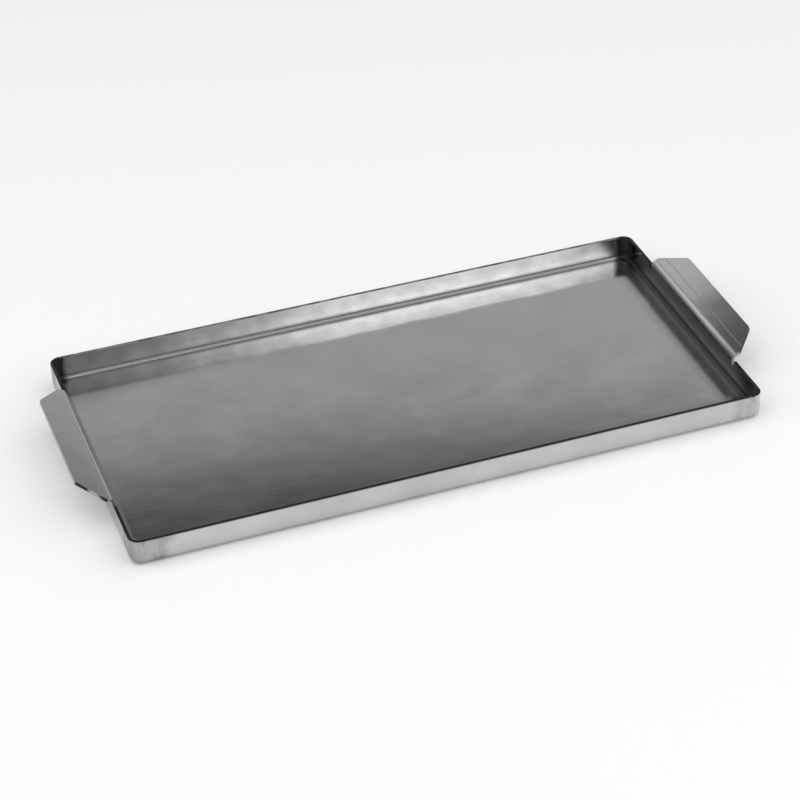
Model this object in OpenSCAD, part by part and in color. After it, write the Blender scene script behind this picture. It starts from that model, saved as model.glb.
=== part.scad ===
// Camp griddle plate: a shallow steel tray for cooking over a camp stove or a fire.
// One laser-cut blank makes the floor, the four folded walls and the two handle tabs.
// A pressed corner piece closes each corner, welded in along both of its edges.
// The origin is the middle of the underside, +X runs along the length and +Z is up.

/* [Tray] */
// Length over the end walls
tray_length = 600; // [300:5:900]
// Width over the long walls
tray_width = 300; // [280:5:500]
// Height of the walls above the underside
wall_height = 26; // [20:0.5:60]
// Thickness of the sheet
sheet = 3; // [2:0.5:4]
// Inside radius of every fold
fold_radius = 3.5; // [2:0.5:5]

/* [Corners] */
// Level stretch of a corner piece, from the centre of its round to its fold
corner_flat = 3.5; // [2:0.5:15]
// Width of the weld seam along each edge of a corner piece
weld_width = 1.5; // [1:0.1:3]

/* [Handles] */
// Length of the fold between an end wall and its handle
handle_fold_length = 178; // [160:1:200]
// Length of a handle's outer edge
handle_edge_length = 132; // [60:1:150]
// Flat width of a handle, from its fold to its outer edge
handle_width = 27; // [20:0.5:60]
// Straight start of a handle's sides, before they slant in
handle_neck = 4; // [0.5:0.5:10]
// Radius of a handle's two outer corners
handle_corner_radius = 6; // [2:0.5:8]
// Upward tilt of a handle from the level
handle_tilt = 22; // [0:1:60]
// How far below the rim a handle's fold begins
handle_fold_drop = 1; // [0:0.5:4]
// Width of the relief slot at each end of a handle's fold
relief_width = 4; // [2:0.5:6]
// Depth of a relief slot below the start of the fold, down to the centre of its round end
relief_depth = 1.5; // [0.5:0.5:4]

/* [Hidden] */

$fn = 96;
// Overshoot of a cutter past the faces that it cuts
past = 1;

// Outside radius of every fold, and the plan radius of a rounded corner
fold_outer = fold_radius + sheet;
corner_radius = corner_flat + fold_outer;

// Reach of a cutter that clears the whole of a fold
fold_reach = 2 * fold_outer;
// Depth by which a handle's flat faces lap into the rounds of its fold
tangent_lap = 0.005;

// Distance of each corner's centre from the origin, along X and along Y
corner_x = tray_length / 2 - corner_radius;
corner_y = tray_width / 2 - corner_radius;

// Height at which a handle's fold leaves its wall
fold_start = wall_height - handle_fold_drop;

// Section across a tray edge, from the centre of a corner's round out to the wall's outer face
module edge_section() {
    square([corner_flat, sheet]);
    translate([corner_flat, fold_outer])
        intersection() {
            difference() {
                circle(fold_outer);
                circle(fold_radius);
            }
            translate([0, -fold_outer])
                square(fold_outer);
        }
    translate([corner_radius - sheet, fold_outer])
        square([sheet, wall_height - fold_outer]);
}

// A run of tray edge, its section facing +X and its length along Y, centred
module edge_run(length) {
    rotate([90, 0, 0])
        linear_extrude(height = length, center = true)
            edge_section();
}

// Floor and two facing walls, folded from one strip across the given span
module channel(span, length) {
    level = span - 2 * corner_radius;
    translate([-level / 2, -length / 2, 0])
        cube([level, length, sheet]);
    for (side = [0, 180])
        rotate([0, 0, side])
            translate([level / 2, 0, 0])
                edge_run(length);
}

// Cuts in an end wall: the band where the handle's fold begins, and a relief slot at each end of it
module handle_cuts() {
    depth = sheet + 2 * past;
    rise = handle_fold_drop + past;
    translate([-sheet - past, -handle_fold_length / 2, fold_start])
        cube([depth, handle_fold_length, rise]);
    slot_round = relief_width / 2;
    for (end = [-1, 1])
        translate([-sheet - past, end * (handle_fold_length / 2 + slot_round), fold_start - relief_depth]) {
            rotate([0, 90, 0])
                cylinder(r = slot_round, h = depth);
            translate([0, -slot_round, 0])
                cube([depth, relief_width, relief_depth + rise]);
        }
}

// Filled section of a handle about its fold's centre, out to one face of the sheet
module handle_fill(radius, width, under) {
    intersection() {
        circle(radius);
        translate([-fold_reach, -under])
            square([2 * fold_reach, fold_reach]);
        rotate(handle_tilt)
            translate([-fold_reach, -under])
                square([fold_reach + past, 2 * fold_reach]);
    }
    rotate(handle_tilt)
        translate([0, -under])
            square([width, radius - tangent_lap + under]);
}

// Waste beyond one end of a handle, seen flat: past its slanted side and its round
module handle_waste() {
    root = [handle_neck, handle_fold_length / 2];
    tip = [handle_width, handle_edge_length / 2];
    side = (tip - root) / norm(tip - root);
    turn = 90 + atan2(side.y, side.x);
    tangent = handle_corner_radius * tan(turn / 2);
    on_edge = tip - [0, tangent];
    centre = on_edge - [handle_corner_radius, 0];
    start = root + past / side.y * side;
    difference() {
        polygon([
            start, tip - tangent * side, centre, on_edge,
            on_edge + [past, 0], [handle_width + past, start.y]
        ]);
        translate(centre)
            circle(handle_corner_radius);
    }
}

// Fold and plate of a handle, from the wall's outer face at X = 0 and the start of the fold at Z = 0
module handle_tab() {
    translate([fold_radius, 0, 0])
        difference() {
            rotate([90, 0, 0])
                linear_extrude(height = handle_fold_length, center = true)
                    difference() {
                        handle_fill(fold_outer, handle_width, 0);
                        handle_fill(fold_radius, handle_width + past, past);
                    }
            for (end = [0, 1])
                mirror([0, end, 0])
                    rotate([0, -handle_tilt, 0])
                        translate([0, 0, fold_radius - past])
                            linear_extrude(height = sheet + 2 * past)
                                handle_waste();
        }
}

// The one blank: floor, walls and handle tabs
module pan_sheet() {
    color([0.60, 0.60, 0.60]) {
        difference() {
            union() {
                channel(tray_length, tray_width - 2 * (corner_radius + weld_width));
                rotate([0, 0, 90])
                    channel(tray_width, tray_length - 2 * (corner_radius + weld_width));
            }
            for (side = [0, 180])
                rotate([0, 0, side])
                    translate([tray_length / 2, 0, 0])
                        handle_cuts();
        }
        for (side = [0, 180])
            rotate([0, 0, side])
                translate([tray_length / 2, 0, fold_start])
                    handle_tab();
    }
}

// Places the back right corner's children at any corner, by the signs of its X and Y
module at_corner(sign_x, sign_y) {
    mirror([sign_x < 0 ? 1 : 0, 0, 0])
        mirror([0, sign_y < 0 ? 1 : 0, 0])
            translate([corner_x, corner_y, 0])
                children();
}

// Pressed corner piece: the tray's edge section turned through a quarter circle
module corner_piece(sign_x, sign_y) {
    color([0.52, 0.52, 0.52])
        at_corner(sign_x, sign_y)
            rotate_extrude(angle = 90)
                edge_section();
}

// Weld seam along both edges of a corner piece, dressed flush with the sheet
module corner_weld(sign_x, sign_y) {
    color([0.70, 0.70, 0.70])
        at_corner(sign_x, sign_y) {
            translate([-weld_width, -weld_width, 0])
                cube([weld_width, weld_width, sheet]);
            translate([0, -weld_width / 2, 0])
                edge_run(weld_width);
            translate([-weld_width / 2, 0, 0])
                rotate([0, 0, 90])
                    edge_run(weld_width);
        }
}

pan_sheet();
corner_piece(-1, -1);  // corner_front_left
corner_piece(1, -1);  // corner_front_right
corner_piece(-1, 1);  // corner_back_left
corner_piece(1, 1);  // corner_back_right
corner_weld(-1, -1);  // corner_weld_front_left
corner_weld(1, -1);  // corner_weld_front_right
corner_weld(-1, 1);  // corner_weld_back_left
corner_weld(1, 1);  // corner_weld_back_right
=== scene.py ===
import math
import bmesh
import bpy
from mathutils import Matrix, Vector


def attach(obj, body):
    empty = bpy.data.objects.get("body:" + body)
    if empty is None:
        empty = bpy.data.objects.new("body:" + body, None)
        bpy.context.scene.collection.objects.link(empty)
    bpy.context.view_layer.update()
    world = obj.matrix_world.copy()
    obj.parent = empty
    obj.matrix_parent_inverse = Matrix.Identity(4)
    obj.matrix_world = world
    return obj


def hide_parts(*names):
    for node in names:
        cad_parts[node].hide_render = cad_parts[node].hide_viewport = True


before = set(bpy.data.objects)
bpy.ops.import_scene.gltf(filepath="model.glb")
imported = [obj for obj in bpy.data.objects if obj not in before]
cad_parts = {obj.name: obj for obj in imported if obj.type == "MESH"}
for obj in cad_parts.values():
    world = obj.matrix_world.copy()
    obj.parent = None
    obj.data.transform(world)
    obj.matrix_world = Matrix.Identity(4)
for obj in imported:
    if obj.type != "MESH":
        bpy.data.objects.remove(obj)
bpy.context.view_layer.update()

# Pan sheet: one laser-cut blank of 3 mm cold-rolled stainless steel. It is folded on a press
# brake: first the two handle tabs, then the four walls. The mesh starts as the flat blank,
# and a node tree folds it in the same order.
mm = 0.001
tray_length = 600 * mm
tray_width = 300 * mm
wall_height = 26 * mm
sheet = 3 * mm
fold_radius = 3.5 * mm
fold_outer = fold_radius + sheet
corner_flat = 3.5 * mm
corner_radius = corner_flat + fold_outer
weld_width = 1.5 * mm
handle_fold_length = 178 * mm
handle_edge_length = 132 * mm
handle_width = 27 * mm
handle_neck = 4 * mm
handle_corner_radius = 6 * mm
handle_tilt = math.radians(22)
handle_fold_drop = 1 * mm
relief_width = 4 * mm
relief_depth = 1.5 * mm
edge_round = 0.3 * mm

# Lengths on the flat blank, along the middle of the sheet
neutral_radius = fold_radius + sheet / 2
quarter_turn = math.pi / 2
handle_turn = quarter_turn - handle_tilt
wall_fold = quarter_turn * neutral_radius
handle_fold = handle_turn * neutral_radius
flat_x = tray_length / 2 - fold_outer
flat_y = tray_width / 2 - fold_outer
cut_x = tray_length / 2 - corner_radius - weld_width
cut_y = tray_width / 2 - corner_radius - weld_width
half_fold = handle_fold_length / 2
slot_round = relief_width / 2
below_slot = 1 * mm
rim_rise = wall_fold + wall_height - fold_outer
tab_rise = rim_rise - handle_fold_drop
slot_rise = tab_rise - relief_depth
band_rise = slot_rise - slot_round - below_slot
rim_x = flat_x + rim_rise
rim_y = flat_y + rim_rise
tab = flat_x + tab_rise
root = tab + handle_fold

# Places within a micron are the same, and points that round to the same tenth of it are shared
tolerance = 1e-6
point_rounding = 1e7
# A face whose normal rises less than this is part of a cut edge
level_normal = 0.95


class FlatBlank:
    """A flat piece of sheet, cut from panels that share their corners and edges."""

    def __init__(self):
        self.points, self.index, self.panels = [], {}, []

    def point(self, x, y):
        key = (round(x * point_rounding), round(y * point_rounding))
        if key not in self.index:
            self.index[key] = len(self.points)
            self.points.append((x, y))
        return self.index[key]

    def panel(self, outline):
        area = sum(a[0] * b[1] - b[0] * a[1] for a, b in zip(outline, outline[1:] + outline[:1]))
        loop = [self.point(*p) for p in outline]
        self.panels.append(loop if area > 0 else loop[::-1])

    def grid(self, xs, ys):
        for x0, x1 in zip(xs, xs[1:]):
            for y0, y1 in zip(ys, ys[1:]):
                self.panel([(x0, y0), (x1, y0), (x1, y1), (x0, y1)])

    def solid(self, name, welded, wear):
        """The blank as a closed mesh of full thickness; edges that welded() doesn't name are rounded.
        wear() gives each point its shares of fold and of dressing."""
        n = len(self.points)
        edges = {(a, b) for loop in self.panels for a, b in zip(loop, loop[1:] + loop[:1])}
        rim = sorted((a, b) for a, b in edges if (b, a) not in edges)
        mesh = bpy.data.meshes.new(name)
        mesh.from_pydata(
            [(x, y, z) for z in (0, sheet) for x, y in self.points], [],
            [loop[::-1] for loop in self.panels]
            + [[i + n for i in loop] for loop in self.panels]
            + [[a, b, b + n, a + n] for a, b in rim])
        bm = bmesh.new()
        bm.from_mesh(mesh)
        bm.verts.ensure_lookup_table()
        cut = []
        for a, b in rim:
            for k in (0, n):
                edge = bm.edges.get((bm.verts[a + k], bm.verts[b + k]))
                if welded(self.points[a], self.points[b]):
                    edge.smooth = False
                else:
                    cut.append(edge)
        bmesh.ops.bevel(bm, geom=cut, offset=edge_round, segments=2, profile=0.5, affect="EDGES")
        bm.normal_update()
        cut_edge = bm.faces.layers.float.new("cut_edge")
        for face in bm.faces:
            face[cut_edge] = float(abs(face.normal.z) < level_normal)
            face.smooth = True
        flat = bm.verts.layers.float_vector.new("flat")
        fold = bm.verts.layers.float.new("fold")
        dressed = bm.verts.layers.float.new("dressed")
        for v in bm.verts:
            v[flat] = v.co
            v[fold], v[dressed] = wear(abs(v.co.x), abs(v.co.y))
        bm.to_mesh(mesh)
        bm.free()
        piece = bpy.data.objects.new(name, mesh)
        bpy.context.scene.collection.objects.link(piece)
        return piece


# Lines across the blank: steps through a fold or a round, and a die mark as a shallow groove
fold_steps = 12
slot_steps = 16
handle_corner_steps = 10
floor_cells = 6 * mm
mark_half = 0.6 * mm
mark_depth = 0.04 * mm
faint_depth = 0.012 * mm
floor_mark = 9 * mm
wall_mark = wall_fold + 8.5 * mm
handle_mark = 9 * mm


def spread(first, last, count):
    """Evenly spaced values from first to last, in count steps."""
    return [first + (last - first) * i / count for i in range(count + 1)]


def groove(at):
    """The two sides and the bottom of a die mark."""
    return [at - mark_half, at, at + mark_half]


def edge_lines(start, end):
    """Lines over a tray edge, from the start of its fold up its wall."""
    return spread(start, start + wall_fold, fold_steps) + groove(start + wall_mark) + [start + end]


def floor_lines(flat, cut):
    """Lines over the floor, from one cut to the other."""
    inner = flat - floor_mark - mark_half
    count = 2 * round(inner / floor_cells)
    half = groove(flat - floor_mark)[1:] + [cut]
    return [-v for v in half[::-1]] + spread(-inner, inner, count) + half


def both_halves(outline):
    """An outline on one side of the length's axis, closed by its mirror image."""
    return outline + [(x, -y) for x, y in outline[::-1]]


floor_xs = floor_lines(flat_x, cut_x)
floor_ys = floor_lines(flat_y, cut_y)

# Upper band of an end wall, with a relief slot at each end of the handle's fold
slot = [(flat_x + slot_rise - slot_round * math.sin(a), half_fold + slot_round * (1 + math.cos(a)))
        for a in spread(0, math.pi, slot_steps)]
upper = [(rim_x, cut_y), (rim_x, half_fold + relief_width)] + slot + [(tab, half_fold)]
band = both_halves(upper) + [(flat_x + band_rise, y) for y in floor_ys]

# Handle plate, measured from the end of its fold: slanted sides and rounded outer corners
slant = (half_fold - handle_edge_length / 2) / (handle_width - handle_neck)
corner_turn = quarter_turn - math.atan(slant)
corner_tangent = handle_corner_radius * math.tan(corner_turn / 2)
corner_out = handle_width - handle_corner_radius
corner_aside = handle_edge_length / 2 - corner_tangent
handle_corner = [(corner_out + handle_corner_radius * math.cos(a),
                  corner_aside + handle_corner_radius * math.sin(a))
                 for a in spread(corner_turn, 0, handle_corner_steps)]


def plate_side(at):
    """The point of the plate's side at a distance from its root."""
    return at, half_fold - max(0, at - handle_neck) * slant


mark_sides = [plate_side(at) for at in groove(handle_mark)]
plate_panels = [
    [plate_side(0), plate_side(handle_neck), mark_sides[0]],
    mark_sides[:2],
    mark_sides[1:],
    mark_sides[2:] + handle_corner]

blank = FlatBlank()
blank.grid(floor_xs, floor_ys)
for side in (-1, 1):
    blank.grid(floor_xs, [side * y for y in [cut_y] + edge_lines(flat_y, rim_rise)])
    blank.grid([side * x for x in [cut_x] + edge_lines(flat_x, band_rise)], floor_ys)
    blank.panel([(side * x, y) for x, y in band])
    blank.grid([side * x for x in spread(tab, root, fold_steps)], [-half_fold, half_fold])
    for edge in plate_panels:
        blank.panel([(side * (root + x), y) for x, y in both_halves(edge)])


def weld_line(a, b):
    """True for the two ends of a cut edge along a corner's weld."""
    for along, start, line in ((0, cut_x, cut_y), (1, cut_y, cut_x)):
        on_line = all(abs(abs(p[1 - along]) - line) < tolerance for p in (a, b))
        if on_line and abs(a[along]) >= start - tolerance:
            return True
    return False


dressed_reach = 45 * mm


def pan_wear(x, y):
    """Shares of wall fold and of dressing beside a weld, at a point of the blank."""
    fold = any(0 < v < wall_fold for v in (x - flat_x, y - flat_y))
    off_weld = max(cut_x - x, 0) + max(cut_y - y, 0)
    return float(fold), max(1 - off_weld / dressed_reach, 0)


pan_sheet = blank.solid("pan_sheet_folded", weld_line, pan_wear)

# Die marks: pressed on the inside by the handles' folds, and on the outside by the walls' folds
inside_marks = (flat_x + wall_mark, root + handle_mark)
outside_marks_x = (flat_x - floor_mark, flat_x + wall_mark)
outside_marks_y = (flat_y - floor_mark, flat_y + wall_mark)


def on_mark(value, marks):
    return min(abs(value - mark) for mark in marks) < tolerance


pressed = set()
for v in pan_sheet.data.vertices:
    x, y, z = abs(v.co.x), abs(v.co.y), v.co.z
    if z > sheet - tolerance and on_mark(x, inside_marks):
        v.co.z -= mark_depth if x > tab else faint_depth
        pressed.add(v.index)
    if z < tolerance and (on_mark(x, outside_marks_x) or on_mark(y, outside_marks_y)):
        v.co.z += faint_depth
        pressed.add(v.index)
for face in pan_sheet.data.polygons:
    if pressed.intersection(face.vertices):
        face.use_smooth = False


class Nodes:
    """A node tree that is built one node at a time; a socket given as an input is linked."""

    def __init__(self, tree):
        self.tree = tree

    def add(self, kind, *values, out=0, **settings):
        node = self.tree.nodes.new(kind)
        for name, value in settings.items():
            setattr(node, name, value)
        for key, value in enumerate(values):
            self.give(node, key, value)
        return node.outputs[out]

    def give(self, node, key, value):
        if isinstance(value, bpy.types.NodeSocket):
            self.tree.links.new(value, node.inputs[key])
        elif value is not None:
            node.inputs[key].default_value = value

    def math(self, operation, *values):
        return self.add("ShaderNodeMath", *values, operation=operation)

    def product(self, total, *factors):
        for factor in factors:
            total = self.math("MULTIPLY", total, factor)
        return total

    def vector(self, operation, *values, out=0):
        return self.add("ShaderNodeVectorMath", *values, operation=operation, out=out)

    def split(self, vector):
        """The x, y and z of a vector."""
        node = self.tree.nodes.new("ShaderNodeSeparateXYZ")
        self.give(node, 0, vector)
        return node.outputs

    def map(self, value, low, high, to_low=0, to_high=1):
        """A value carried evenly from one range to another, and held at its ends."""
        return self.add("ShaderNodeMapRange", value, low, high, to_low, to_high)

    def ramp(self, value, low, high, to_low=0, to_high=1):
        """As map, but it eases in and out."""
        return self.add("ShaderNodeMapRange", value, low, high, to_low, to_high,
                        interpolation_type="SMOOTHSTEP")

    def mix(self, share, a, b):
        """The first value, giving way to the second by a share."""
        node = self.tree.nodes.new("ShaderNodeMix")
        for key, value in ((0, share), (2, a), (3, b)):
            self.give(node, key, value)
        return node.outputs[0]


def geometry_tree(name, inputs):
    """A new geometry tree with a geometry input, the named inputs, and a geometry output."""
    tree = bpy.data.node_groups.new(name, "GeometryNodeTree")
    tree.interface.new_socket("Geometry", in_out="INPUT", socket_type="NodeSocketGeometry")
    for label, kind in inputs:
        tree.interface.new_socket(label, in_out="INPUT", socket_type="NodeSocket" + kind)
    tree.interface.new_socket("Geometry", in_out="OUTPUT", socket_type="NodeSocketGeometry")
    start = tree.nodes.new("NodeGroupInput")
    return Nodes(tree), start.outputs


def end_tree(g, geometry, material=None):
    """Ends a tree, after real copies and a material where one is given."""
    if material is not None:
        geometry = g.add("GeometryNodeRealizeInstances", geometry)
        node = g.tree.nodes.new("GeometryNodeSetMaterial")
        g.give(node, "Geometry", geometry)
        g.give(node, "Material", material)
        geometry = node.outputs[0]
    g.tree.links.new(geometry, g.tree.nodes.new("NodeGroupOutput").inputs[0])


# One fold along a straight line: the sheet beyond it turns up, or down for a negative turn
g, given = geometry_tree("fold_edge", [
    ("Outward", "Vector"), ("Start", "Float"), ("Reach", "Float"),
    ("Turn", "Float"), ("Radius", "Float"), ("Sheet", "Float")])
outward, turn_by, gauge = given["Outward"], given["Turn"], given["Sheet"]
place = g.add("GeometryNodeInputPosition")
height = g.split(place)[2]
beyond = g.math("SUBTRACT", g.vector("DOT_PRODUCT", place, outward, out=1), given["Start"])
aside = g.vector("DOT_PRODUCT", place, g.vector("CROSS_PRODUCT", (0, 0, 1), outward), out=1)
half_gauge = g.math("MULTIPLY", gauge, 0.5)
neutral = g.math("ADD", given["Radius"], half_gauge)
full = g.math("ABSOLUTE", turn_by)
way = g.math("SIGN", turn_by)
angle = g.math("MINIMUM", g.math("MAXIMUM", g.math("DIVIDE", beyond, neutral), 0), full)
straight = g.math("MAXIMUM", g.math("SUBTRACT", beyond, g.math("MULTIPLY", full, neutral)), 0)
axis = g.math("MULTIPLY_ADD", way, neutral, half_gauge)
arm = g.math("MULTIPLY", way, g.math("SUBTRACT", axis, height))
sine, cosine = g.math("SINE", angle), g.math("COSINE", angle)
along = g.math("MULTIPLY_ADD", arm, sine, g.math("MULTIPLY", straight, cosine))
lift = g.math("SUBTRACT", g.math("MULTIPLY", straight, sine), g.math("MULTIPLY", arm, cosine))
rise = g.math("MULTIPLY_ADD", way, lift, g.math("SUBTRACT", axis, height))
move = g.vector("ADD",
                g.vector("SCALE", outward, None, None, g.math("SUBTRACT", along, beyond)),
                g.add("ShaderNodeCombineXYZ", 0, 0, rise))
chosen = g.math("MULTIPLY", g.math("GREATER_THAN", beyond, 0),
                g.math("LESS_THAN", g.math("ABSOLUTE", aside), given["Reach"]))
end_tree(g, g.add("GeometryNodeSetPosition", given["Geometry"], chosen, None, move))
fold_edge = g.tree

# A reach that takes in the whole of any edge
whole_edge = 1.0


def add_fold(g, geometry, outward, start, reach, turn, radius, gauge):
    node = g.tree.nodes.new("GeometryNodeGroup")
    node.node_tree = fold_edge
    for key, value in enumerate((geometry, outward, start, reach, turn, radius, gauge)):
        g.give(node, key, value)
    return node.outputs[0]


# The whole blank: a slight unevenness of the floor, then the handles' folds, then the walls'
uneven_per_metre = 24
g, given = geometry_tree("fold_tray_blank", [
    ("Floor X", "Float"), ("Floor Y", "Float"), ("Tab start", "Float"), ("Tab reach", "Float"),
    ("Handle turn", "Float"), ("Fold radius", "Float"), ("Sheet", "Float"),
    ("Unevenness", "Float"), ("Seed", "Float"), ("Steel", "Material")])
place = g.add("GeometryNodeInputPosition")
place_x, place_y, _ = g.split(place)
inland = g.math("MINIMUM",
                g.math("SUBTRACT", given["Floor X"], g.math("ABSOLUTE", place_x)),
                g.math("SUBTRACT", given["Floor Y"], g.math("ABSOLUTE", place_y)))
noise = g.tree.nodes.new("ShaderNodeTexNoise")
noise.noise_dimensions = "4D"
g.give(noise, "Vector", g.vector("MULTIPLY", place, (1, 1, 0)))
g.give(noise, "W", given["Seed"])
g.give(noise, "Scale", uneven_per_metre)
g.give(noise, "Detail", 1)
wave = g.product(noise.outputs[0], given["Unevenness"], g.ramp(inland, 4 * mm, 30 * mm))
shape = g.add("GeometryNodeSetPosition", given["Geometry"], None, None,
              g.add("ShaderNodeCombineXYZ", 0, 0, wave))
handle_down = g.math("MULTIPLY", given["Handle turn"], -1)
for x in (-1, 1):
    shape = add_fold(g, shape, (x, 0, 0), given["Tab start"], given["Tab reach"], handle_down,
                     given["Fold radius"], given["Sheet"])
for x, y, limit in ((-1, 0, "Floor X"), (1, 0, "Floor X"), (0, -1, "Floor Y"), (0, 1, "Floor Y")):
    shape = add_fold(g, shape, (x, y, 0), given[limit], whole_edge, quarter_turn,
                     given["Fold radius"], given["Sheet"])
end_tree(g, shape, given["Steel"])
fold_tray_blank = g.tree


def make(piece, tree, **values):
    """Runs a tree on a piece and keeps the result as its plain mesh, with flat faces shaded flat."""
    modifier = piece.modifiers.new(tree.name, "NODES")
    modifier.node_group = tree
    for item in tree.interface.items_tree:
        key = item.name.lower().replace(" ", "_")
        if item.in_out == "INPUT" and key in values:
            modifier[item.identifier] = values[key]
    weighted = piece.modifiers.new("flat_shading", "WEIGHTED_NORMAL")
    weighted.keep_sharp = True
    weighted.weight = 100
    depsgraph = bpy.context.evaluated_depsgraph_get()
    mesh = bpy.data.meshes.new_from_object(piece.evaluated_get(depsgraph))
    piece.modifiers.clear()
    piece.data = mesh
    mesh.name = piece.name


class SheetSteel:
    """Stainless sheet. Each treatment changes its tone, from black to white, or its haze, from
    mirror to matt, by the place of a point on the flat blank."""

    # Middle ranges of a noise, which are stretched over the whole of a change
    soft, firm, hard = (0.3, 0.7), (0.35, 0.65), (0.4, 0.6)

    def __init__(self, name):
        self.material = bpy.data.materials.new(name)
        self.material.use_nodes = True
        self.g = g = Nodes(self.material.node_tree)
        self.flat = g.add("ShaderNodeAttribute", attribute_name="flat", out=1)
        self.cut, self.fold, self.dressed = [
            g.add("ShaderNodeAttribute", attribute_name=label, out=2)
            for label in ("cut_edge", "fold", "dressed")]
        self.x, self.y, z = g.split(self.flat)
        self.inside = g.map(z, 0.4 * sheet, 0.6 * sheet)
        self.outside = g.math("SUBTRACT", 1, self.inside)
        self.from_middle = g.math("ABSOLUTE", self.x)
        self.from_axis = g.math("ABSOLUTE", self.y)
        self.to_end = g.math("SUBTRACT", flat_x, self.from_middle)
        self.to_long = g.math("SUBTRACT", flat_y, self.from_axis)
        self.patches = self.noise(self.flat, 55, detail=3)

    def noise(self, vector, scale, detail, roughness=0.5):
        """A random pattern, its scale in patches to a metre."""
        node = self.g.tree.nodes.new("ShaderNodeTexNoise")
        self.g.give(node, "Vector", vector)
        self.g.give(node, "Scale", scale)
        self.g.give(node, "Detail", detail)
        self.g.give(node, "Roughness", roughness)
        return node.outputs[0]

    def stretched_noise(self, stretch):
        """A random pattern with its own number of patches to a metre along x, y and z."""
        return self.noise(self.g.vector("MULTIPLY", self.flat, stretch), 1, detail=2)

    def shade(self, share, factor):
        """Multiplies the tone by a factor, over a share of the surface."""
        self.tone = self.g.product(self.tone, self.g.mix(share, 1, factor))

    def cover(self, share, tone=None, haze=None):
        """Brings in another tone or haze, over a share of the surface."""
        if tone is not None:
            self.tone = self.g.mix(share, self.tone, tone)
        if haze is not None:
            self.haze = self.g.mix(share, self.haze, haze)

    def roll(self, light, dark, smooth, rough):
        """Rolled surface: cloudy, most of all outside, with fine lines along the length."""
        g = self.g
        line_haze = 0.015
        cloud = g.map(self.noise(self.flat, 14, detail=4, roughness=0.6), *self.soft)
        self.lines = self.stretched_noise((12, 900, 12))
        self.tone = g.mix(cloud, dark, light)
        self.haze = g.math("ADD", g.mix(cloud, rough, smooth),
                           g.map(self.lines, *self.soft, -line_haze, line_haze))
        self.shade(self.outside, g.map(cloud, 0, 1, 0.91, 1.02))

    def haze_floor_sides(self):
        """Floor hazed along the long walls, most at the far left, and along the right end wall."""
        g = self.g
        long_reach, long_haze = 28 * mm, 0.12
        more_reach, more_haze = 26 * mm, 0.07
        end_reach, end_haze = 24 * mm, 0.20
        far_left = g.product(g.map(self.x, -flat_x, 50 * mm, 1, 0), g.map(self.y, 0, 50 * mm))
        by_long = g.map(self.to_long, 0, g.math("MULTIPLY_ADD", far_left, more_reach, long_reach),
                        g.math("MULTIPLY_ADD", far_left, more_haze, long_haze), 0)
        by_end = g.product(g.map(self.to_end, 0, end_reach, end_haze, 0), g.map(self.x, 0, 100 * mm))
        on_floor = g.math("GREATER_THAN", g.math("MINIMUM", self.to_end, self.to_long), 0)
        hazy = g.product(g.math("MAXIMUM", by_long, by_end), on_floor)
        self.haze = g.math("ADD", self.haze, hazy)

    def paint_reflection_and_mottle_long_sides(self):
        """Floor lightened along the long walls, save at the left, as a painted reflection of the walls;
        mottled there and up those walls, which are a little darker above their folds."""
        g = self.g
        painted_reflection_gain = 0.28
        # Painted reflection: the floor beside the long walls is lightened where the walls are mirrored in it
        rubbed_and_painted_reflection = g.product(g.map(self.to_long, 10 * mm, 24 * mm, painted_reflection_gain, 0),
                           g.math("GREATER_THAN", self.to_long, 0),
                           g.map(self.x, -200 * mm, -60 * mm))
        self.shade(self.inside, g.math("ADD", rubbed_and_painted_reflection, 1))
        up_wall = g.math("SUBTRACT", self.from_axis, flat_y + wall_fold)
        self.shade(self.inside, g.map(up_wall, 3 * mm, 8 * mm, 1, 0.92))
        mottled = g.product(g.map(self.to_long, 24 * mm, 34 * mm, 1, 0), self.inside)
        self.shade(mottled, g.map(self.patches, *self.firm, 0.93, 1.05))

    def paint_shade_on_left_end(self):
        """Outside of the left end wall darkened as painted shade, a darker reflection on that side."""
        g = self.g
        left_end = g.product(g.map(self.x, -flat_x - 2 * mm, -flat_x, 1, 0),
                             g.math("LESS_THAN", self.from_middle, tab), self.outside)
        # Painted shade: the left end wall's outside is taken down to 0.7 of its tone
        self.shade(left_end, 0.7)

    def dull_and_shade_wall_folds(self):
        """Insides of the walls' folds: hazed by the bending, and darker as painted shade, darkest at the
        ends.
        """
        g = self.g
        at_end = g.math("GREATER_THAN", self.from_middle, flat_x)
        # Painted shade in the folds' creases: tone 0.33, and 0.12 along the end walls; the haze is the
        # bending's
        self.cover(g.product(self.fold, self.inside), tone=g.mix(at_end, 0.33, 0.12), haze=0.42)

    def wear_and_highlight_handles(self):
        """Handles: smoother plates, scuffed folds with a painted highlight, a matt die mark; most on the
        right one.
        """
        g = self.g
        haze_kept = 0.65
        self.haze = g.product(self.haze, g.map(self.from_middle, root, root + 3 * mm, 1, haze_kept))
        over_fold = g.product(
            g.ramp(self.from_middle, tab, tab + 0.9 * handle_fold),
            g.ramp(self.from_middle, tab + 0.8 * handle_fold, tab + 1.3 * handle_fold, 1, 0))
        worn_and_highlit = g.product(g.map(self.x, -tab, tab, 0.2, 1),
                            g.map(self.y, -half_fold, -0.3 * half_fold, 0.6, 1), self.inside)
        # Painted highlight: the scuffed folds' tone is raised to 0.74, more on the right handle and towards
        # the back
        self.cover(g.product(over_fold, worn_and_highlit), tone=0.74, haze=0.60)
        off_mark = g.math("ABSOLUTE", g.math("SUBTRACT", self.from_middle, root + handle_mark))
        scored = g.map(off_mark, 0.3 * mark_half, mark_half, 0.5, 0)
        self.cover(g.product(scored, worn_and_highlit), haze=0.42)

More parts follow.
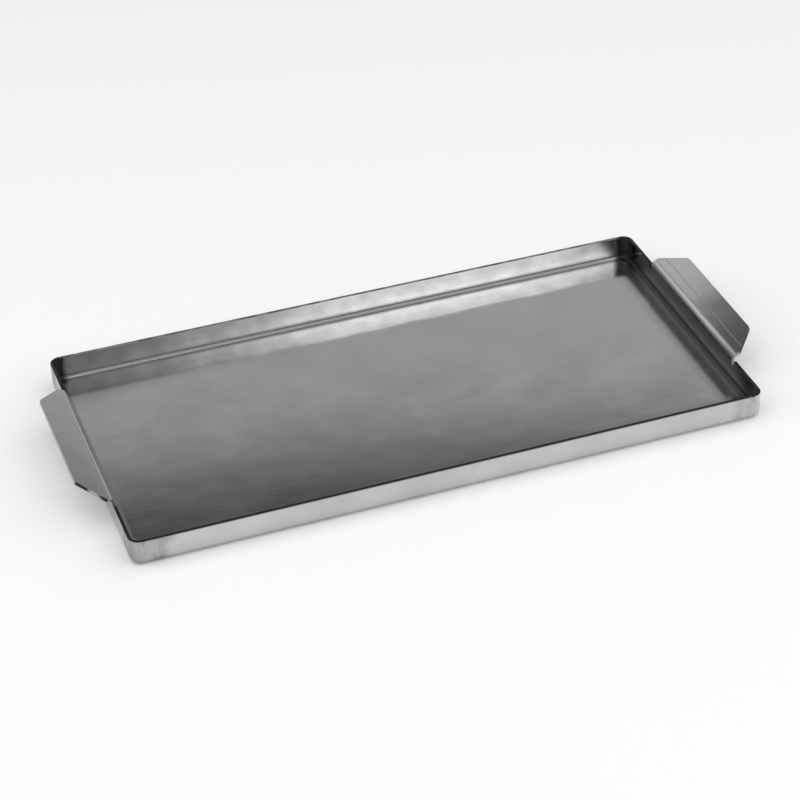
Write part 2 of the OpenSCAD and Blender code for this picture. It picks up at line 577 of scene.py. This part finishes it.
    def dress_welds(self):
        """Beside the welds: blotchy ground patches outside, darker towards the left; inside, painted shade
        by the corners, rubbed haze, and rougher steel painted darkest at the welds. The long walls'
        outsides are dark just under the rim."""
        g = self.g
        raggedness = 0.8
        ragged = g.math("MULTIPLY_ADD", self.patches, raggedness, self.dressed)
        ground = g.product(g.map(ragged, 0.75, 1.25), self.outside)
        place = g.add("ShaderNodeTexCoord", out=3)
        upright = g.vector("MULTIPLY", place, (1, 1, 0.15))
        # Ground patches are darker towards the left end and lighter towards the right
        towards_right = g.map(g.split(place)[0], -200 * mm, 200 * mm)
        ground_tone = g.map(self.noise(upright, 90, detail=3), *self.firm,
                            g.mix(towards_right, 0.16, 0.44), g.mix(towards_right, 0.44, 0.66))
        self.cover(ground, tone=ground_tone, haze=0.34)
        # A dark strip just under the rim, on the long walls' outsides
        dark_under_rim = g.ramp(self.from_axis, rim_y - 1.8 * mm, rim_y - 0.3 * mm, 0, 0.6)
        self.cover(g.product(dark_under_rim, self.outside), tone=0.12)
        end_wall = g.map(self.from_middle, flat_x, flat_x + wall_fold)
        # Painted shade inside by the corners: the end walls go nearly black towards the welds
        painted_corner_shade = g.product(g.map(self.dressed, 0.05, 0.6, 0, 0.85), self.inside, end_wall)
        self.cover(painted_corner_shade, tone=0.08)
        rubbed_and_painted_reflection = g.product(g.map(self.dressed, 0.4, 0.8), self.inside, g.math("SUBTRACT", 1, end_wall))
        self.cover(rubbed_and_painted_reflection, haze=0.20)
        # Painted shade right at the welds inside, with a rougher haze
        rough_painted_weld_shade = g.product(g.map(self.dressed, 0.86, 1.0), self.inside)
        self.cover(rough_painted_weld_shade, tone=0.06, haze=0.60)

    def darken_cut_edges_and_paint_glints(self):
        """Laser-cut edges: dark and ridged, with painted highlights as bright bits on the far rim and the
        handles' sides, and painted glints in the near relief slots and along the handles' outer edges."""
        g = self.g
        self.ridges = self.stretched_noise((2500, 2500, 150))
        tone = g.map(self.ridges, *self.soft, 0.02, 0.07)
        # Painted highlights: the far rim lightened, and painted glints in the near slots, on the handles'
        # sides and outer edges
        far_rim = g.map(self.y, cut_y, flat_y)
        tone = g.mix(far_rim, tone, g.map(self.noise(self.flat, 60, detail=2), *self.hard, 0.18, 0.42))
        near_slot = g.product(
            g.math("GREATER_THAN", self.from_middle, flat_x + slot_rise - relief_width),
            g.math("LESS_THAN", self.from_axis, half_fold + relief_width + edge_round),
            g.math("LESS_THAN", self.y, 0))
        tone = g.mix(near_slot, tone, 0.36)
        on_side = g.math("GREATER_THAN", self.from_middle, root + 0.5 * handle_neck)
        tone = g.mix(on_side, tone, g.map(self.noise(self.flat, 45, detail=1), 0.48, 0.60, 0.04, 0.40))
        on_tip = g.math("GREATER_THAN", self.from_middle, root + handle_width - 2 * edge_round)
        tone = g.mix(on_tip, tone, 0.42)
        self.cover(self.cut, tone=tone, haze=0.35)

    def bump(self, height, strength, distance, normal=None):
        node = self.g.tree.nodes.new("ShaderNodeBump")
        self.g.give(node, "Height", height)
        self.g.give(node, "Strength", strength)
        self.g.give(node, "Distance", distance)
        self.g.give(node, "Normal", normal)
        return node.outputs[0]

    def finish(self):
        """Joins tone, haze and a faint relief to the shader: waves, strongest by the far wall, and lines."""
        g = self.g
        wave_height, more_waves = 0.05 * mm, 0.6 * mm
        line_height, line_strength = 0.2 * mm, 0.02
        by_far_wall = g.product(g.map(self.to_long, 20 * mm, 45 * mm, 1, 0),
                                g.math("GREATER_THAN", self.to_long, 0), g.math("GREATER_THAN", self.y, 0))
        waves = self.bump(self.noise(self.flat, 26, detail=1), 1.0,
                          g.math("MULTIPLY_ADD", by_far_wall, more_waves, wave_height))
        relief = self.bump(g.mix(self.cut, self.lines, self.ridges), line_strength, line_height, waves)
        shader = self.material.node_tree.nodes["Principled BSDF"]
        g.give(shader, "Metallic", 1.0)
        g.give(shader, "Base Color", g.add("ShaderNodeCombineColor", self.tone, self.tone, self.tone))
        g.give(shader, "Roughness", self.haze)
        g.give(shader, "Normal", relief)
        return self.material


def steel(name, light, dark, smooth, rough):
    """Sheet steel with all its treatments, between two tones and two hazes of its clouds."""
    metal = SheetSteel(name)
    metal.roll(light, dark, smooth, rough)
    metal.haze_floor_sides()
    metal.paint_reflection_and_mottle_long_sides()
    metal.paint_shade_on_left_end()
    metal.dull_and_shade_wall_folds()
    metal.wear_and_highlight_handles()
    metal.dress_welds()
    metal.darken_cut_edges_and_paint_glints()
    return metal.finish()


# Cold-rolled stainless sheet: semi-bright and faintly cloudy
rolled_steel = steel("rolled_steel", light=0.58, dark=0.54, smooth=0.085, rough=0.12)
make(pan_sheet, fold_tray_blank, floor_x=flat_x, floor_y=flat_y, tab_start=tab,
     tab_reach=half_fold + slot_round, handle_turn=handle_turn, fold_radius=fold_radius,
     sheet=sheet, unevenness=0.045 * mm, seed=3.0, steel=rolled_steel)
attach(pan_sheet, "root")
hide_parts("pan_sheet")

# Corner pieces: four pressed quarter rounds of the same sheet, welded into the blank's open
# corners and dressed with a fine abrasive, so they look hazier than the sheet.
g, given = geometry_tree("round_corner", [
    ("Flat", "Float"), ("Round", "Float"), ("Centre", "Vector"), ("First angle", "Float"),
    ("Fold radius", "Float"), ("Sheet", "Float"), ("Steel", "Material")])
shape = add_fold(g, given["Geometry"], (1, 0, 0), given["Flat"], whole_edge, quarter_turn,
                 given["Fold radius"], given["Sheet"])
out_from_centre, along_arc, height = g.split(g.add("GeometryNodeInputPosition"))
angle = g.math("ADD", g.math("DIVIDE", along_arc, given["Round"]), given["First angle"])
turned = g.add("ShaderNodeCombineXYZ", g.math("MULTIPLY", out_from_centre, g.math("COSINE", angle)),
               g.math("MULTIPLY", out_from_centre, g.math("SINE", angle)), height)
shape = g.add("GeometryNodeSetPosition", shape, None, g.vector("ADD", turned, given["Centre"]))
merge = g.tree.nodes.new("GeometryNodeMergeByDistance")
g.give(merge, "Geometry", shape)
g.give(merge, "Distance", tolerance)
end_tree(g, merge.outputs[0], given["Steel"])
round_corner = g.tree

# Inside, the corner pieces are painted nearly black: painted shade in the corners
dressed_steel = steel("dressed_steel", light=0.57, dark=0.52, smooth=0.26, rough=0.34)
arc_steps = 20
corner_x = tray_length / 2 - corner_radius
corner_y = tray_width / 2 - corner_radius
corner_arc = quarter_turn * corner_radius
corner_rim = corner_flat + rim_rise


def corner_wear(x, y):
    """Fold and full dressing, at a point of a corner's strip."""
    return float(corner_flat < x < corner_flat + wall_fold), 1.0


def below_corner_rim(a, b):
    """True for the edges of a corner's strip that are welded in: all but its rim."""
    return min(a[0], b[0]) < corner_rim - tolerance


# The signs of each corner's x and y, and the quarter of the circle that it takes
corners = {"back_right": (1, 1, 0), "back_left": (-1, 1, 1),
           "front_left": (-1, -1, 2), "front_right": (1, -1, 3)}
for label, (sign_x, sign_y, quarter) in corners.items():
    strip = FlatBlank()
    strip.grid([0] + edge_lines(corner_flat, rim_rise), spread(0, corner_arc, arc_steps))
    piece = strip.solid("corner_piece_" + label, below_corner_rim, corner_wear)
    make(piece, round_corner, flat=corner_flat, round=corner_radius,
         centre=(sign_x * corner_x, sign_y * corner_y, 0), first_angle=quarter * quarter_turn,
         fold_radius=fold_radius, sheet=sheet, steel=dressed_steel)
    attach(piece, "root")
    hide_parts("corner_" + label)

# Weld seams: a line of filler along both edges of each corner piece, over the floor and up the
# wall, ground flush with the sheet and blended in.
# Inside, by the welds, the seams are painted nearly black as shade in the corners
weld_metal = steel("weld_metal", light=0.60, dark=0.55, smooth=0.28, rough=0.36)
seam_xs = [cut_x, corner_x] + edge_lines(flat_x, rim_rise)
seam_ys = [cut_y, corner_y] + edge_lines(flat_y, rim_rise)


def below_seam_rim(a, b):
    """True for the edges of a seam that join the sheet or the corner piece: all but its rim."""
    on_rim_x = min(abs(a[0]), abs(b[0])) > rim_x - tolerance
    on_rim_y = min(abs(a[1]), abs(b[1])) > rim_y - tolerance
    return not (on_rim_x or on_rim_y)


for label, (sign_x, sign_y, _) in corners.items():
    xs, ys = [sign_x * x for x in seam_xs], [sign_y * y for y in seam_ys]
    seam = FlatBlank()
    seam.grid(xs, ys[:2])
    seam.grid(xs[:2], ys[1:])
    piece = seam.solid("weld_seam_" + label, below_seam_rim, pan_wear)
    make(piece, fold_tray_blank, floor_x=flat_x, floor_y=flat_y, tab_start=tab, tab_reach=0.0,
         handle_turn=handle_turn, fold_radius=fold_radius, sheet=sheet, unevenness=0.0, seed=0.0,
         steel=weld_metal)
    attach(piece, "root")
    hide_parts("corner_weld_" + label)

# Studio: plain pale paper that keeps the plate's soft shadow, whitened a little for what sees it.
# Around it stands a dim room, which the steel mirrors, with two large softboxes that meet
# overhead and two small ones at the front right.
bpy.context.scene.view_settings.view_transform = "Standard"
floor_radius = 12
floor_gap = 0.2 * mm
paper_white = 0.94
paper_glow = 0.08
bm = bmesh.new()
bmesh.ops.create_circle(bm, cap_ends=True, radius=floor_radius, segments=64)
floor_mesh = bpy.data.meshes.new("studio_floor")
bm.to_mesh(floor_mesh)
bm.free()
studio_floor = bpy.data.objects.new("studio_floor", floor_mesh)
bpy.context.scene.collection.objects.link(studio_floor)
floor_mesh.transform(Matrix.Translation((0, 0, -floor_gap)))

paper = bpy.data.materials.new("white_paper")
paper.use_nodes = True
g = Nodes(paper.node_tree)
matte = paper.node_tree.nodes["Principled BSDF"]
matte.inputs["Base Color"].default_value = (paper_white, paper_white, paper_white, 1)
matte.inputs["Roughness"].default_value = 1.0
matte.inputs["Specular IOR Level"].default_value = 0.0
matte.inputs["Emission Color"].default_value = (1, 1, 1, 1)
light_path = paper.node_tree.nodes.new("ShaderNodeLightPath").outputs
seen = g.math("ADD", light_path["Is Camera Ray"], light_path["Is Glossy Ray"])
seen = g.math("ADD", seen, light_path["Is Transmission Ray"])
g.give(matte, "Emission Strength", g.math("MULTIPLY", seen, paper_glow))
floor_mesh.materials.append(paper)

# The room's greys, painted by direction: how far across and how high it points for each metre
# of depth. A pale bowed screen and a low window stand behind, and a doorway in front.
room_grey = 0.33
behind_grey = 0.06
doorway_grey = 0.10
screen_middle = 0.35
screen_grey = 0.475
screen_brightening = 0.11
screen_bow = 0.28
screen_slope = 0.146
screen_top = (0.715, 0.745)
window_top = (0.885, 0.905)
window_grey, above_window_grey = 0.64, 0.07
least_depth = 0.05
room = bpy.data.worlds.new("dim_room")
bpy.context.scene.world = room
room.use_nodes = True
g = Nodes(room.node_tree)
x, y, z = g.split(g.add("ShaderNodeTexCoord"))
depth = g.math("MAXIMUM", g.math("ABSOLUTE", y), least_depth)
across, high = g.math("DIVIDE", x, depth), g.math("DIVIDE", z, depth)
aside = g.math("SUBTRACT", across, screen_middle)
bow = g.math("MULTIPLY_ADD", g.math("MULTIPLY", aside, aside), screen_bow,
             g.math("MULTIPLY", across, screen_slope))
gap = g.product(g.ramp(across, 0.45, 0.58), g.ramp(high, 0.355, 0.50), g.ramp(high, 0.52, 0.62, 1, 0))
screen = g.product(g.ramp(g.math("SUBTRACT", high, bow), *screen_top, 1, 0),
                   g.math("MULTIPLY_ADD", aside, screen_brightening, screen_grey),
                   g.ramp(across, -0.04, 0.06), g.math("SUBTRACT", 1, gap))
window = g.product(g.ramp(high, *window_top, window_grey, above_window_grey),
                   g.ramp(across, -0.47, -0.27), g.ramp(across, -0.06, 0.02, 1, 0))
back_wall = g.math("ADD", g.math("ADD", screen, window), behind_grey)
doorway = g.product(g.ramp(across, -0.80, -0.65), g.ramp(across, -0.30, -0.15, 1, 0),
                    g.ramp(high, 0.45, 0.55))
front_wall = g.mix(doorway, room_grey, doorway_grey)
walls = g.mix(g.ramp(y, 0.1, 0.3), front_wall, back_wall)
walls = g.mix(g.ramp(g.math("ABSOLUTE", across), 0.9, 1.3), walls, room_grey)
grey = g.mix(g.ramp(z, 0.74, 0.86), walls, room_grey)
g.give(room.node_tree.nodes["Background"], "Color", g.add("ShaderNodeCombineColor", grey, grey, grey))


def softbox(name, at, towards, width, height, watts):
    lamp = bpy.data.lights.new(name, "AREA")
    lamp.shape = "RECTANGLE"
    lamp.size, lamp.size_y = width, height
    lamp.energy = watts
    stand = bpy.data.objects.new(name, lamp)
    stand.location = at
    stand.rotation_mode = "QUATERNION"
    stand.rotation_quaternion = (Vector(towards) - Vector(at)).to_track_quat("-Z", "Y")
    stand.visible_camera = False
    bpy.context.scene.collection.objects.link(stand)


softbox("softbox_front_right", (0.70, -1.50, 1.14), (0.1, 0, 0), width=0.56, height=0.7, watts=1.54)
softbox("softbox_front_wide", (0.79, -1.52, 1.14), (0.1, 0, 0), width=1.22, height=0.9, watts=2.10)
softbox("softbox_left", (-1.9, -0.2, 2.6), (0, -0.2, 0), width=4.0, height=4.7, watts=69)
softbox("softbox_right", (1.9, -0.2, 2.6), (0, -0.2, 0), width=4.0, height=4.7, watts=46)

# Camera: the photograph's own standpoint, above the front left, through a long lens. It is
# rolled a little, and it looks a little past the middle of the plate.
camera_azimuth = math.radians(-19.318)
camera_elevation = math.radians(35.396)
camera_roll = math.radians(-1.377)
camera_distance = 2.2925
focal_length = 110.13
sensor_width = 36
aim_aside = -1.26 * mm
aim_up = -0.94 * mm
back = Vector((math.sin(camera_azimuth) * math.cos(camera_elevation),
               -math.cos(camera_azimuth) * math.cos(camera_elevation), math.sin(camera_elevation)))
level = Vector((0, 0, 1)).cross(back).normalized()
right = Matrix.Rotation(camera_roll, 3, back) @ level
up = back.cross(right)
standpoint = back * camera_distance
back = (standpoint - right * aim_aside - up * aim_up).normalized()
right = (right - back * right.dot(back)).normalized()
facing = Matrix((right, back.cross(right), back)).transposed()
lens = bpy.data.cameras.new("camera")
lens.sensor_width = sensor_width
lens.lens = focal_length
camera = bpy.data.objects.new("camera", lens)
camera.matrix_world = Matrix.Translation(standpoint) @ facing.to_4x4()
bpy.context.scene.collection.objects.link(camera)
bpy.context.scene.camera = camera
